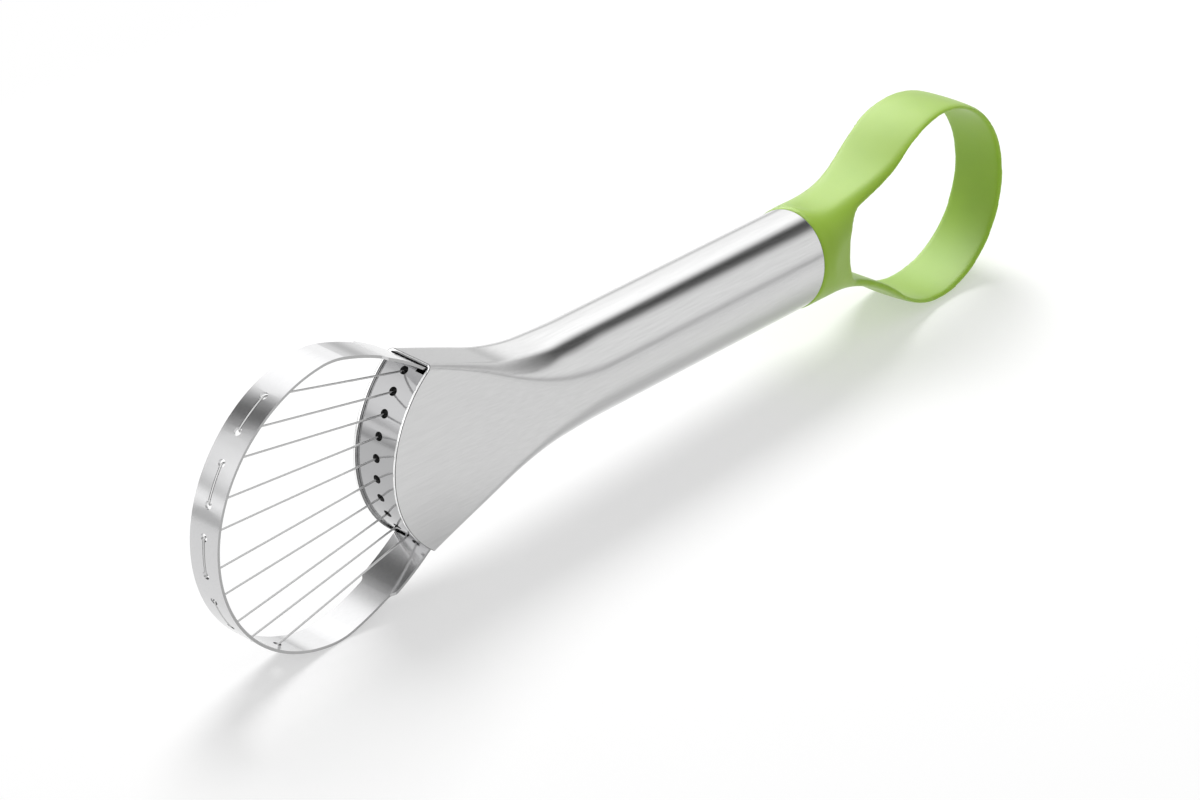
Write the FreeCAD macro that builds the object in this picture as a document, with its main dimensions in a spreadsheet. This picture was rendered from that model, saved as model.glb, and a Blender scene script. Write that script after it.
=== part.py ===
import FreeCAD, Part
import math
import os

import Sketcher
from FreeCAD import Placement, Rotation, Vector

# Avocado slicer, in millimetres.
# Tool frame: +X along the handle from the cutting head to the pitter ring, with x = 0 at the joint
# between tube and ring; Y across the thickness; +Z across the width. Both loops lie in the plane y = 0.
# Every piece is drawn in the tool frame and then stood on its edge by one common placement.

SIZES = (
    # handle tube
    ("tube_diameter", 25.0),
    ("tube_wall", 0.8),
    ("straight_length", 75.0),
    ("flare_length", 54.5),
    ("mouth_width", 48.8),
    ("mouth_depth", 13.7),
    ("mouth_corner_radius", 1.5),
    ("mouth_arc_radius", 30.0),
    ("joint_slant", 10.0),
    # cutting band
    ("band_thickness", 0.7),
    ("band_width", 9.0),
    ("tab_width", 11.4),
    ("tab_grip", 11.0),
    ("tab_reach", 11.5),
    ("tab_shoulder_radius", 1.5),
    ("tab_clearance", 0.15),
    ("neck_radius", 6.0),
    ("neck_turn", 16.3),
    ("cheek_radius", 67.0),
    ("cheek_turn", 22.2),
    ("shoulder_radius", 18.8),
    ("shoulder_turn", 21.7),
    # cutting wires and their holes
    ("strand_diameter", 0.5),
    ("strand_clearance", 0.03),
    ("strand_bend_radius", 0.5),
    ("pair_span", 9.7),
    ("pair_pitch", 27.4),
    ("band_hole_diameter", 2.0),
    ("groove_width", 0.7),
    ("groove_depth", 0.4),
    ("crimp_diameter", 1.8),
    ("crimp_length", 2.6),
    # saddle plate
    ("plate_thickness", 0.6),
    ("plate_recess", 0.7),
    ("plate_clearance", 0.1),
    ("plate_hole_diameter", 1.5),
    ("plate_end_margin", 0.95),
    ("tongue_width", 6.0),
    ("tongue_length", 8.0),
    ("tongue_bend_radius", 1.1),
    # rivets through tab and tongue
    ("rivet_shank_diameter", 1.8),
    ("rivet_head_diameter", 3.0),
    ("rivet_tail_height", 0.6),
    ("rivet_clearance", 0.03),
    # pitter ring
    ("ring_radius", 26.5),
    ("ring_reach", 51.2),
    ("ring_drop", 1.05),
    ("ring_turn", -2.8),
    ("ring_thickness", 1.6),
    ("ring_crest_width", 17.8),
    ("ring_tip_width", 15.6),
    ("ring_outer_edge", 0.8),
    ("ring_inner_edge", 0.7),
    ("waist_radius", 41.0),
    ("waist_half_height", 11.45),
    ("waist_thickness", 3.3),
    ("collar_lip", 0.3),
    ("collar_length", 4.0),
    ("web_length", 13.0),
    ("opening_corner_radius", 9.0),
    ("joint_gap", 0.05),
    ("spigot_clearance", 0.1),
    ("spigot_length", 22.0),
    ("spigot_bore", 16.0),
    ("spigot_bore_depth", 30.0),
)

# Stations of the flare, as shares of its length; those past 1 are trimmed by the mouth's arc.
FLARE_STATIONS = (0.0, 0.14, 0.28, 0.42, 0.56, 0.70, 0.85, 1.0, 1.16, 1.32)
FLARE_BEND_START = 0.25
FLARE_BEND_END = 0.62
PAIR_COUNT = 5
HOLE_COUNT = 2 * PAIR_COUNT
# A lofted section needs straight sides, so the round end keeps flats this long.
ROUND_END_FLAT = 0.04

doc = FreeCAD.newDocument("AvocadoSlicer")
sheet = doc.addObject("Spreadsheet::Sheet", "Sizes")
for row, (alias, size) in enumerate(SIZES, start=1):
    sheet.set("A%d" % row, alias)
    sheet.set("B%d" % row, str(size))
    sheet.setAlias("B%d" % row, alias)
doc.recompute()


def size(alias):
    return float(sheet.get(alias))


# Values worked out from the driving sizes

tube_radius = size("tube_diameter") / 2
mouth_x = -(size("straight_length") + size("flare_length"))
mouth_half_width = size("mouth_width") / 2
mouth_half_depth = size("mouth_depth") / 2
arc_centre_x = mouth_x + math.sqrt(size("mouth_arc_radius") ** 2 - mouth_half_width ** 2)


def flare_rise(share):
    """Share of the flare's widening reached at a share of its length: straight, bend, straight."""
    bend = FLARE_BEND_END - FLARE_BEND_START
    slope = 1 / ((1 - FLARE_BEND_END) + bend / 2)
    if share <= FLARE_BEND_START:
        return 0.0
    if share <= FLARE_BEND_END:
        return slope * (share - FLARE_BEND_START) ** 2 / (2 * bend)
    return slope * (share - FLARE_BEND_END + bend / 2)


def flare_squeeze(share):
    """Share of the flattening reached at a share of the flare's length, easing in and out."""
    part = min(share, 1.0)
    return part * part * (3 - 2 * part)


widening = mouth_half_width - tube_radius
side_slope = math.atan2(widening * (flare_rise(1.0) - flare_rise(0.99)), 0.01 * size("flare_length"))
side_angle = math.degrees(side_slope)


# Geometry in the XZ plane, as (x, z) points


def heading_vector(heading):
    return Vector(math.cos(math.radians(heading)), math.sin(math.radians(heading)), 0)


def run_chain(start, heading, steps):
    """Tangent lines and arcs from a start point: (length,) is a line, (radius, turn) an arc, + to the left."""
    chain = []
    point = start
    for step in steps:
        if len(step) == 1:
            end = point + heading_vector(heading) * step[0]
            chain.append({"kind": "line", "start": point, "end": end, "heading": heading})
        else:
            radius, turn = step
            side = 1 if turn > 0 else -1
            to_centre = heading_vector(heading + 90 * side)
            centre = point + to_centre * radius
            end = centre - heading_vector(heading + turn + 90 * side) * radius
            chain.append({"kind": "arc", "start": point, "end": end, "heading": heading,
                          "turn": turn, "centre": centre, "radius": radius})
            heading += turn
        point = end
    return chain


def offset_edges(chain, offset):
    """The chain's lines and arcs moved sideways, + to the left of its heading."""
    edges = []
    for item in chain:
        if item["kind"] == "line":
            shift = heading_vector(item["heading"] + 90) * offset
            edges.append(Part.LineSegment(item["start"] + shift, item["end"] + shift))
            continue
        side = 1 if item["turn"] > 0 else -1
        radius = item["radius"] - side * offset
        first = item["heading"] - 90 * side
        last = first + item["turn"]
        low, high = (first, last) if side > 0 else (last, first)
        circle = Part.Circle(item["centre"], Vector(0, 0, 1), radius)
        edges.append(Part.ArcOfCircle(circle, math.radians(low), math.radians(high)))
    return edges


def chain_point(item, at_end, offset):
    heading = item["heading"] + (item.get("turn", 0) if at_end else 0)
    point = item["end"] if at_end else item["start"]
    return point + heading_vector(heading + 90) * offset


def strip_outline(chain, thickness):
    """Closed outline of a strip of even thickness along a chain."""
    half = thickness / 2
    caps = []
    for item, at_end in ((chain[0], False), (chain[-1], True)):
        caps.append(Part.LineSegment(chain_point(item, at_end, half), chain_point(item, at_end, -half)))
    return offset_edges(chain, half) + offset_edges(chain, -half) + caps


def polygon(points):
    corners = [Vector(x, z, 0) for x, z in points]
    return [Part.LineSegment(a, b) for a, b in zip(corners, corners[1:] + corners[:1])]


def tangent_circle(line_point, line_heading, side, radius, centre, centre_distance):
    """Centre of a circle that touches a line on the given side and lies at a distance from a point."""
    offset_point = line_point + heading_vector(line_heading + 90 * side) * radius
    along = heading_vector(line_heading)
    to_point = offset_point - centre
    half_b = to_point.dot(along)
    root = math.sqrt(half_b ** 2 - to_point.dot(to_point) + centre_distance ** 2)
    return offset_point + along * (root - half_b)


# Document helpers


def new_body(name):
    body = doc.addObject("PartDesign::Body", name)
    body.Label = name
    return body


def origin_feature(body, role):
    return next(item for item in body.Origin.OriginFeatures if item.Role == role)


def new_sketch(body, name, plane, edges, offset=None):
    sketch = body.newObject("Sketcher::SketchObject", name)
    sketch.AttachmentSupport = [(origin_feature(body, plane), "")]
    sketch.MapMode = "FlatFace"
    if offset is not None:
        sketch.AttachmentOffset = offset
    sketch.addGeometry(edges, False)
    return sketch


def name_radius(sketch, edge, name, expression):
    """Gives one arc or circle of a sketch a named radius that follows the sheet."""
    index = sketch.addConstraint(Sketcher.Constraint("Radius", edge, sketch.Geometry[edge].Radius))
    sketch.renameConstraint(index, name)
    sketch.setExpression("Constraints." + name, expression)


def symmetric_pad(body, name, sketch, expression):
    pad = body.newObject("PartDesign::Pad", name)
    pad.Profile = sketch
    pad.SideType = "Symmetric"
    pad.setExpression("Length", expression)
    return pad


def through_pocket(body, name, sketch):
    pocket = body.newObject("PartDesign::Pocket", name)
    pocket.Profile = sketch
    pocket.Type = "ThroughAll"
    pocket.SideType = "Symmetric"
    return pocket


def section_sketch(body, name, x, half_height, half_width, corner, centre_z=0.0):
    """Rounded rectangle across the handle; each size is a number for now and an expression to follow."""
    (height, height_rule), (width, width_rule), (radius, radius_rule) = half_height, half_width, corner
    flat_y = width - radius
    flat_z = height - radius

    def line(first, last):
        return Part.LineSegment(Vector(*first, 0), Vector(*last, 0))

    def arc(centre_y, centre_z, angle):
        circle = Part.Circle(Vector(centre_y, centre_z, 0), Vector(0, 0, 1), radius)
        return Part.ArcOfCircle(circle, math.radians(angle), math.radians(angle + 90))

    edges = [
        line((width, -flat_z), (width, flat_z)), arc(flat_y, flat_z, 0),
        line((flat_y, height), (-flat_y, height)), arc(-flat_y, flat_z, 90),
        line((-width, flat_z), (-width, -flat_z)), arc(-flat_y, -flat_z, 180),
        line((-flat_y, -height), (flat_y, -height)), arc(flat_y, -flat_z, 270),
    ]
    sketch = new_sketch(body, name, "YZ_Plane", edges, Placement(Vector(0, centre_z, x), Rotation()))
    for edge in range(8):
        sketch.addConstraint(Sketcher.Constraint("Tangent", edge, 2, (edge + 1) % 8, 1))
    for edge in (0, 4):
        sketch.addConstraint(Sketcher.Constraint("Vertical", edge))
    for edge in (2, 6):
        sketch.addConstraint(Sketcher.Constraint("Horizontal", edge))
    for edge in (3, 5, 7):
        sketch.addConstraint(Sketcher.Constraint("Equal", 1, edge))
    sketch.addConstraint(Sketcher.Constraint("Symmetric", 1, 3, 5, 3, -1, 1))
    named = (
        ("half_width", Sketcher.Constraint("DistanceX", -1, 1, 0, 1, width), width_rule),
        ("half_height", Sketcher.Constraint("DistanceY", -1, 1, 2, 1, height), height_rule),
        ("corner", Sketcher.Constraint("Radius", 1, radius), radius_rule),
    )
    for label, constraint, rule in named:
        index = sketch.addConstraint(constraint)
        sketch.renameConstraint(index, label)
        sketch.setExpression("Constraints." + label, rule)
    return sketch


def loft(body, kind, name, sections):
    feature = body.newObject("PartDesign::" + kind, name)
    feature.Profile = sections[0]
    feature.Sections = sections[1:]
    feature.Ruled = False
    return feature


def flare_section(body, name, share, inset, inset_rule):
    """One station of the flare, moved inwards by the inset for the shell's inner face."""
    rise = flare_rise(share)
    squeeze = flare_squeeze(share)
    height = tube_radius + widening * rise - inset
    width = tube_radius * (1 - squeeze) + mouth_half_depth * squeeze - inset
    sharp = size("mouth_corner_radius") - inset
    height_rule = ("Sizes.tube_diameter / 2 + (Sizes.mouth_width - Sizes.tube_diameter) / 2 * %.6f - %s"
                   % (rise, inset_rule))
    width_rule = ("Sizes.tube_diameter / 2 * %.6f + Sizes.mouth_depth / 2 * %.6f - %s"
                  % (1 - squeeze, squeeze, inset_rule))
    sharp_rule = "(Sizes.mouth_corner_radius - %s)" % inset_rule
    corner = (width - ROUND_END_FLAT / 2) * (1 - squeeze) + sharp * squeeze
    corner_rule = "(%s - %.4f) * %.6f + %s * %.6f" % (
        width_rule, ROUND_END_FLAT / 2, 1 - squeeze, sharp_rule, squeeze)
    corner_rule = corner_rule.replace(width_rule, "(" + width_rule + ")")
    x = -(size("straight_length") + share * size("flare_length"))
    sketch = section_sketch(body, name, x, (height, height_rule), (width, width_rule), (corner, corner_rule))
    sketch.setExpression(".AttachmentOffset.Base.z",
                         "-(Sizes.straight_length + Sizes.flare_length * %.4f)" % share)
    return sketch


# Handle tube: the round tube, the flare, then the hollow, the arched mouth and the slanted end


def joint_cutter(gap, towards_ring):
    """Outline of all that lies beyond the slanted joint, on the ring's side or on the tube's side."""
    reach = 2 * size("tube_diameter")
    lean = reach * math.tan(math.radians(size("joint_slant")))
    far = reach + lean if towards_ring else -(reach + lean)
    return polygon(((gap - lean, -reach), (gap + lean, reach), (far, reach), (far, -reach)))


def make_handle_tube():
    body = new_body("handle_tube")
    overlap = 1.0 + tube_radius * math.tan(math.radians(size("joint_slant")))
    outer = [flare_section(body, "outer_%d" % n, share, 0.0, "0") for n, share in enumerate(FLARE_STATIONS)]
    loft(body, "AdditiveLoft", "flare", outer)
    doc.recompute()

    tube_sketch = new_sketch(body, "tube_section", "YZ_Plane",
                             [Part.Circle(Vector(), Vector(0, 0, 1), tube_radius)],
                             Placement(Vector(0, 0, overlap), Rotation()))
    name_radius(tube_sketch, 0, "tube_radius", "Sizes.tube_diameter / 2")
    tube = body.newObject("PartDesign::Pad", "tube")
    tube.Profile = tube_sketch
    tube.Reversed = True
    tube.setExpression("Length", "Sizes.straight_length + %.4f" % overlap)
    doc.recompute()

    wall = size("tube_wall")
    inner = [flare_section(body, "inner_%d" % n, share, wall, "Sizes.tube_wall")
             for n, share in enumerate(FLARE_STATIONS)]
    loft(body, "SubtractiveLoft", "flare_hollow", inner)
    doc.recompute()

    bore_sketch = new_sketch(body, "bore_section", "YZ_Plane",
                             [Part.Circle(Vector(), Vector(0, 0, 1), tube_radius - wall)],
                             Placement(Vector(0, 0, overlap), Rotation()))
    name_radius(bore_sketch, 0, "bore_radius", "Sizes.tube_diameter / 2 - Sizes.tube_wall")
    bore = body.newObject("PartDesign::Pocket", "bore")
    bore.Profile = bore_sketch
    bore.setExpression("Length", "Sizes.straight_length + %.4f" % overlap)
    doc.recompute()

    radius = size("mouth_arc_radius")
    half_angle = math.degrees(math.asin(mouth_half_width / radius))
    circle = Part.Circle(Vector(arc_centre_x, 0, 0), Vector(0, 0, 1), radius)
    arc = Part.ArcOfCircle(circle, math.radians(180 - half_angle), math.radians(180 + half_angle))
    beyond = mouth_x - 2 * radius
    corners = [(mouth_x, -mouth_half_width), (mouth_x, -2 * radius), (beyond, -2 * radius),
               (beyond, 2 * radius), (mouth_x, 2 * radius), (mouth_x, mouth_half_width)]
    sides = polygon(corners)[:-1]
    mouth_sketch = new_sketch(body, "mouth_arc", "XZ_Plane", [arc] + sides)
    name_radius(mouth_sketch, 0, "mouth_arc_radius", "Sizes.mouth_arc_radius")
    through_pocket(body, "mouth_trim", mouth_sketch)
    end_sketch = new_sketch(body, "joint_end", "XZ_Plane", joint_cutter(0.0, True))
    through_pocket(body, "joint_trim", end_sketch)
    doc.recompute()
    return body


# The seat of the tab: inside the mouth, along the side wall

wall_normal = size("tube_wall") / math.cos(side_slope)


def side_line(depth):
    """A point at the mouth on the line that lies a depth inside the side wall's outer face."""
    return Vector(mouth_x, mouth_half_width - depth / math.cos(side_slope), 0)


tab_depth = size("tube_wall") + size("tab_clearance") + size("band_thickness") / 2
tongue_depth = (size("tube_wall") + size("tab_clearance") + size("band_thickness")
                + size("plate_clearance") + size("plate_thickness") / 2)
out_heading = 180 - side_angle


def band_chain():
    neck_start = side_line(tab_depth)
    start = neck_start - heading_vector(out_heading) * size("tab_grip")
    steps = [(size("tab_grip"),), (size("neck_radius"), -size("neck_turn")),
             (size("cheek_radius"), size("cheek_turn")), (size("shoulder_radius"), size("shoulder_turn"))]
    first_half = run_chain(start, out_heading, steps)
    last = first_half[-1]
    heading = last["heading"] + last["turn"]
    tip_radius = -last["end"].y / math.cos(math.radians(heading))
    tip = (tip_radius, 2 * (270 - heading))
    return run_chain(start, out_heading, steps + [tip] + list(reversed(steps)))


band = band_chain()
tip_arc = band[len(band) // 2]
loop_centre = tip_arc["centre"]
tip_radius = tip_arc["radius"]
outer_face = tip_radius + size("band_thickness") / 2
groove_floor = outer_face - size("groove_depth")
half_span = math.degrees(size("pair_span") / 2 / tip_radius)
first_pair_angle = size("pair_pitch") * (PAIR_COUNT - 1) / 2


def rivet_frame():
    """Origin on the tab's outer face where the rivet's head sits; local y runs inwards along the rivet."""
    outer = side_line(size("tube_wall") + size("tab_clearance"))
    origin = outer - heading_vector(out_heading) * (size("tongue_length") / 2)
    return origin, out_heading + 90


def rivet_profile(clearance):
    """Half outline of the countersunk rivet, or of its seat when there is a clearance."""
    head = size("rivet_head_diameter") / 2 + clearance
    shank = size("rivet_shank_diameter") / 2 + clearance
    cone = head - shank
    grip = size("band_thickness") + size("plate_clearance") + size("plate_thickness")
    tail = size("rivet_tail_height")
    if clearance > 0:
        return [(0, -1), (head, -1), (head, 0), (shank, cone), (shank, grip + 1), (0, grip + 1)]
    return [(0, 0), (head, 0), (shank, cone), (shank, grip), (head, grip), (head - tail / 2, grip + tail),
            (0, grip + tail)]


def rivet_sketch(body, name, clearance):
    origin, heading = rivet_frame()
    offset = Placement(origin, Rotation(Vector(0, 0, 1), heading - 90))
    return new_sketch(body, name, "XZ_Plane", polygon(rivet_profile(clearance)), offset)


def rivet_seats(body):
    """The countersunk hole for the top rivet, and its mirror image for the bottom one."""
    sketch = rivet_sketch(body, "rivet_seat_profile", size("rivet_clearance"))
    seat = body.newObject("PartDesign::Groove", "rivet_seat")
    seat.Profile = sketch
    seat.ReferenceAxis = (sketch, ["V_Axis"])
    seat.Angle = 360
    doc.recompute()
    mirror = body.newObject("PartDesign::Mirrored", "rivet_seats")
    mirror.Originals = [seat]
    mirror.MirrorPlane = (origin_feature(body, "XY_Plane"), [""])
    body.Tip = mirror
    doc.recompute()


# Cutting band: a bent strip with wide tabs, grooves and holes for the wires


def tab_shoulder(side):
    """Plan outline of what is cut from one edge of the strip: a smooth step from tab to loop width."""
    tab_y = size("tab_width") / 2
    loop_y = size("band_width") / 2
    radius = size("tab_shoulder_radius")
    swing = math.degrees(math.acos(1 - (tab_y - loop_y) / (2 * radius)))
    start = Vector(mouth_x - size("tab_reach"), tab_y, 0)
    first, second = run_chain(start, 180, [(radius, swing), (radius, -swing)])
    edges = offset_edges([first, second], 0)
    beyond = loop_centre.x - 2 * tip_radius
    far = size("mouth_depth")
    edges += polygon(((second["end"].x, loop_y), (beyond, loop_y), (beyond, far), (start.x, far),
                      (start.x, tab_y)))[:-1]
    if side < 0:
        for edge in edges:
            edge.mirror(Vector(), Vector(1, 0, 0))
    return edges


def make_cutting_band():
    body = new_body("cutting_band")
    strip = new_sketch(body, "strip", "XZ_Plane", strip_outline(band, size("band_thickness")))
    symmetric_pad(body, "bent_strip", strip, "Sizes.tab_width")
    doc.recompute()

    trim = []
    for side in (1, -1):
        trim += tab_shoulder(side)
    through_pocket(body, "narrowing", new_sketch(body, "loop_edges", "XY_Plane", trim))
    doc.recompute()

    turned = Placement(Vector(loop_centre.x, 0, 0), Rotation(Vector(0, 0, 1), -first_pair_angle))
    sector = []
    for radius in (groove_floor, outer_face + 1):
        circle = Part.Circle(Vector(), Vector(0, 0, 1), radius)
        sector.append(Part.ArcOfCircle(circle, math.radians(180 - half_span), math.radians(180 + half_span)))
    for side in (1, -1):
        ray = heading_vector(180 + side * half_span)
        sector.append(Part.LineSegment(ray * groove_floor, ray * (outer_face + 1)))
    groove_sketch = new_sketch(body, "groove_sector", "XZ_Plane", sector, turned)
    groove = body.newObject("PartDesign::Pocket", "groove")
    groove.Profile = groove_sketch
    groove.SideType = "Symmetric"
    groove.setExpression("Length", "Sizes.groove_width")
    doc.recompute()

    hole_circles = []
    for side in (1, -1):
        centre = Vector(0, side * tip_radius * math.sin(math.radians(half_span)), 0)
        hole_circles.append(Part.Circle(centre, Vector(0, 0, 1), size("band_hole_diameter") / 2))
    facing = Placement(Vector(0, 0, loop_centre.x), Rotation(Vector(1, 0, 0), first_pair_angle))
    holes_sketch = new_sketch(body, "hole_pair", "YZ_Plane", hole_circles, facing)
    name_radius(holes_sketch, 0, "upper_hole", "Sizes.band_hole_diameter / 2")
    name_radius(holes_sketch, 1, "lower_hole", "Sizes.band_hole_diameter / 2")
    holes = body.newObject("PartDesign::Pocket", "holes")
    holes.Profile = holes_sketch
    holes.setExpression("Length", "%.4f" % (tip_radius + size("shoulder_radius")))
    doc.recompute()

    pattern = body.newObject("PartDesign::PolarPattern", "wire_seats")
    pattern.Originals = [groove, holes]
    pattern.Axis = (groove_sketch, ["N_Axis"])
    pattern.setExpression("Angle", "Sizes.pair_pitch * %d" % (PAIR_COUNT - 1))
    pattern.Occurrences = PAIR_COUNT
    body.Tip = pattern
    doc.recompute()
    rivet_seats(body)
    return body


# Saddle plate: an arched strip across the mouth whose narrow ends bend in along the tabs

plate_front = size("mouth_arc_radius") - size("plate_recess")
plate_radius = plate_front - size("plate_thickness") / 2
plate_centre = Vector(arc_centre_x, 0, 0)


def plate_chain():
    bend = size("tongue_bend_radius")
    centre = tangent_circle(side_line(tongue_depth), out_heading, 1, bend, plate_centre, plate_radius - bend)
    bend_start = centre - heading_vector(out_heading + 90) * bend
    start = bend_start - heading_vector(out_heading) * size("tongue_length")
    to_bend = centre - plate_centre
    end_angle = math.degrees(math.atan2(to_bend.y, -to_bend.x))
    bend_turn = 270 - end_angle - out_heading
    steps = [(size("tongue_length"),), (bend, bend_turn)]
    return run_chain(start, out_heading, steps + [(plate_radius, 2 * end_angle)] + list(reversed(steps)))


plate = plate_chain()
plate_arc = plate[len(plate) // 2]
plate_end_angle = math.degrees(size("plate_end_margin") / plate_radius)
plate_hole_step = (plate_arc["turn"] - 2 * plate_end_angle) / (HOLE_COUNT - 1)


def make_saddle_plate():
    body = new_body("saddle_plate")
    strip = new_sketch(body, "strip", "XZ_Plane", strip_outline(plate, size("plate_thickness")))
    symmetric_pad(body, "bent_strip", strip,
                  "Sizes.mouth_depth - 2 * Sizes.tube_wall - 2 * Sizes.plate_clearance")
    doc.recompute()

    bend_end = plate[1]["end"]
    notch_x = bend_end.x - size("plate_thickness") / 2
    beyond = plate[0]["start"].x + size("tongue_length")
    inner_y = size("tongue_width") / 2
    trim = []
    for side in (1, -1):
        trim += polygon(((notch_x, side * inner_y), (beyond, side * inner_y),
                         (beyond, side * size("mouth_depth")), (notch_x, side * size("mouth_depth"))))
    through_pocket(body, "tongue_edges", new_sketch(body, "tongue_notches", "XY_Plane", trim))
    doc.recompute()

    first_angle = plate_hole_step * (HOLE_COUNT - 1) / 2
    facing = Placement(Vector(0, 0, plate_centre.x), Rotation(Vector(1, 0, 0), first_angle))
    hole_sketch = new_sketch(body, "strand_hole", "YZ_Plane",
                             [Part.Circle(Vector(), Vector(0, 0, 1), size("plate_hole_diameter") / 2)], facing)
    name_radius(hole_sketch, 0, "hole_radius", "Sizes.plate_hole_diameter / 2")
    hole = body.newObject("PartDesign::Pocket", "hole")
    hole.Profile = hole_sketch
    hole.setExpression("Length", "Sizes.mouth_arc_radius + 1")
    hub = new_sketch(body, "plate_hub", "XZ_Plane", [Part.Circle(Vector(), Vector(0, 0, 1), 1)],
                     Placement(plate_centre, Rotation()))
    doc.recompute()
    pattern = body.newObject("PartDesign::PolarPattern", "strand_holes")
    pattern.Originals = [hole]
    pattern.Axis = (hub, ["N_Axis"])
    pattern.Angle = plate_hole_step * (HOLE_COUNT - 1)
    pattern.Occurrences = HOLE_COUNT
    body.Tip = pattern
    doc.recompute()
    rivet_seats(body)
    return body


# Cutting wires: hairpins from two crimps behind the plate, out to the band and over its groove


def spoke(centre, angle, distance):
    """A point at an angle above the -X direction, seen from a centre."""
    return centre + Vector(-math.cos(math.radians(angle)), math.sin(math.radians(angle)), 0) * distance


def bend_points(before, corner, after, radius):
    """Start, middle and end of the arc that rounds a corner between two straight runs."""
    back = (before - corner).normalize()
    ahead = (after - corner).normalize()
    half = back.getAngle(ahead) / 2
    middle_line = (back + ahead).normalize()
    centre = corner + middle_line * (radius / math.sin(half))
    reach = radius / math.tan(half)
    return corner + back * reach, centre - middle_line * radius, corner + ahead * reach


def strand(plate_angle, band_angle, side):
    """Edges of one strand from its crimp to the groove, and the arc's end on the groove's circle."""
    stub_end = spoke(plate_centre, plate_angle,
                     plate_front - size("plate_thickness") - size("crimp_length"))
    corner = spoke(plate_centre, plate_angle, plate_radius)
    exit_point = spoke(loop_centre, band_angle, tip_radius)
    bend = size("strand_bend_radius")
    first, middle, last = bend_points(stub_end, corner, exit_point, bend)
    along = exit_point - corner
    heading = math.degrees(math.atan2(along.y, along.x))
    rim = tangent_circle(corner, heading, side, bend, loop_centre, bridge_radius - bend)
    leave = rim - heading_vector(heading + 90 * side) * bend
    outward = (rim - loop_centre).normalize()
    reach = rim + outward * bend
    top = rim + ((leave - rim) + (reach - rim)).normalize() * bend
    edges = [Part.LineSegment(stub_end, first), Part.Arc(first, middle, last),
             Part.LineSegment(last, leave), Part.Arc(leave, top, reach)]
    return edges, reach


bridge_radius = groove_floor + size("strand_diameter") / 2 + size("strand_clearance")


def upright(shape):
    """Turns a shape drawn in the sketch plane's (x, z) into the tool frame's XZ plane."""
    turned = shape.copy()
    turned.rotate(Vector(), Vector(1, 0, 0), 90)
    return turned


def make_cutting_wire(number):
    """One hairpin: its path is drawn from the sheet's sizes, and a round section is swept along it."""
    band_angle = first_pair_angle - number * size("pair_pitch")
    upper_plate = ((HOLE_COUNT - 1) / 2 - 2 * number) * plate_hole_step
    upper, upper_end = strand(upper_plate, band_angle + half_span, 1)
    lower, lower_end = strand(upper_plate - plate_hole_step, band_angle - half_span, -1)
    middle = spoke(loop_centre, band_angle, bridge_radius)
    edges = upper + [Part.Arc(upper_end, middle, lower_end)] + list(reversed(lower))
    path = Part.Wire(Part.__sortEdges__([upright(edge.toShape()) for edge in edges]))
    first_edge = path.OrderedEdges[0]
    start = path.OrderedVertexes[0].Point
    direction = first_edge.tangentAt(first_edge.FirstParameter)
    section = Part.Wire([Part.Circle(start, direction, size("strand_diameter") / 2).toShape()])
    wire = doc.addObject("Part::Feature", "cutting_wire_%d" % (number + 1))
    wire.Shape = path.makePipeShell([section], True, False)
    return wire


def make_crimp_sleeve(number):
    """A short tube on the wire's end, square against the plate's rear face."""
    name = "crimp_sleeve_%02d" % (number + 1)
    barrel = doc.addObject("Part::Cylinder", name + "_barrel")
    barrel.setExpression("Radius", "Sizes.crimp_diameter / 2")
    barrel.setExpression("Height", "Sizes.crimp_length")
    bore = doc.addObject("Part::Cylinder", name + "_bore")
    bore.setExpression("Radius", "Sizes.strand_diameter / 2 + Sizes.strand_clearance")
    bore.setExpression("Height", "Sizes.crimp_length")
    sleeve = doc.addObject("Part::Cut", name)
    sleeve.Base = barrel
    sleeve.Tool = bore
    angle = ((HOLE_COUNT - 1) / 2 - number) * plate_hole_step
    seat_radius = plate_front - size("plate_thickness") - size("strand_clearance")
    seat = spoke(plate_centre, angle, seat_radius)
    inward = plate_centre - seat
    turn = Rotation(Vector(0, 0, 1), Vector(inward.x, 0, inward.y))
    sleeve.Placement = Placement(Vector(seat.x, 0, seat.y), turn)
    return sleeve


def make_tab_rivet(name, mirrored):
    body = new_body(name)
    sketch = rivet_sketch(body, "profile", 0.0)
    rivet = body.newObject("PartDesign::Revolution", "rivet")
    rivet.Profile = sketch
    rivet.ReferenceAxis = (sketch, ["V_Axis"])
    rivet.Angle = 360
    if mirrored:
        body.Placement = Placement(Vector(), Rotation(Vector(1, 0, 0), 180))
    return body


# Pitter ring: a round collar that opens into a tapering band, with its spigot inside the tube

collar_radius = tube_radius + size("collar_lip")
ring_centre = Vector(size("ring_reach"), -size("ring_drop"), 0)


def waist_frame(side, inset=0.0, waist_z=size("waist_half_height")):
    """Centre and radius of a waist arc, and the angle at which the ring's circle passes into it.

    The arc touches the line z = side * waist_z and the ring's circle moved inwards by the inset.
    """
    radius = size("waist_radius") + inset
    centre_z = side * (waist_z + radius)
    rise = centre_z - ring_centre.y
    run = math.sqrt((size("ring_radius") - inset + radius) ** 2 - rise ** 2)
    return Vector(ring_centre.x - run, centre_z, 0), radius, math.degrees(math.atan2(rise, -run))


# Cross-sections from the collar to the ring's crest, as (share of the way, share of the change in
# width, share of the change in corner radius); the two past the crest only hold the curve level there.
RING_SECTIONS = (
    (0.0, 0.0, 0.0),
    (1 / 6, 0.54, 0.38),
    (2 / 6, 0.87, 0.51),
    (3 / 6, 0.90, 0.76),
    (4 / 6, 0.82, 0.92),
    (5 / 6, 0.86, 0.97),
    (1.0, 1.0, 1.0),
    (7 / 6, 1.0, 1.0),
    (8 / 6, 1.0, 1.0),
)


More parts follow.
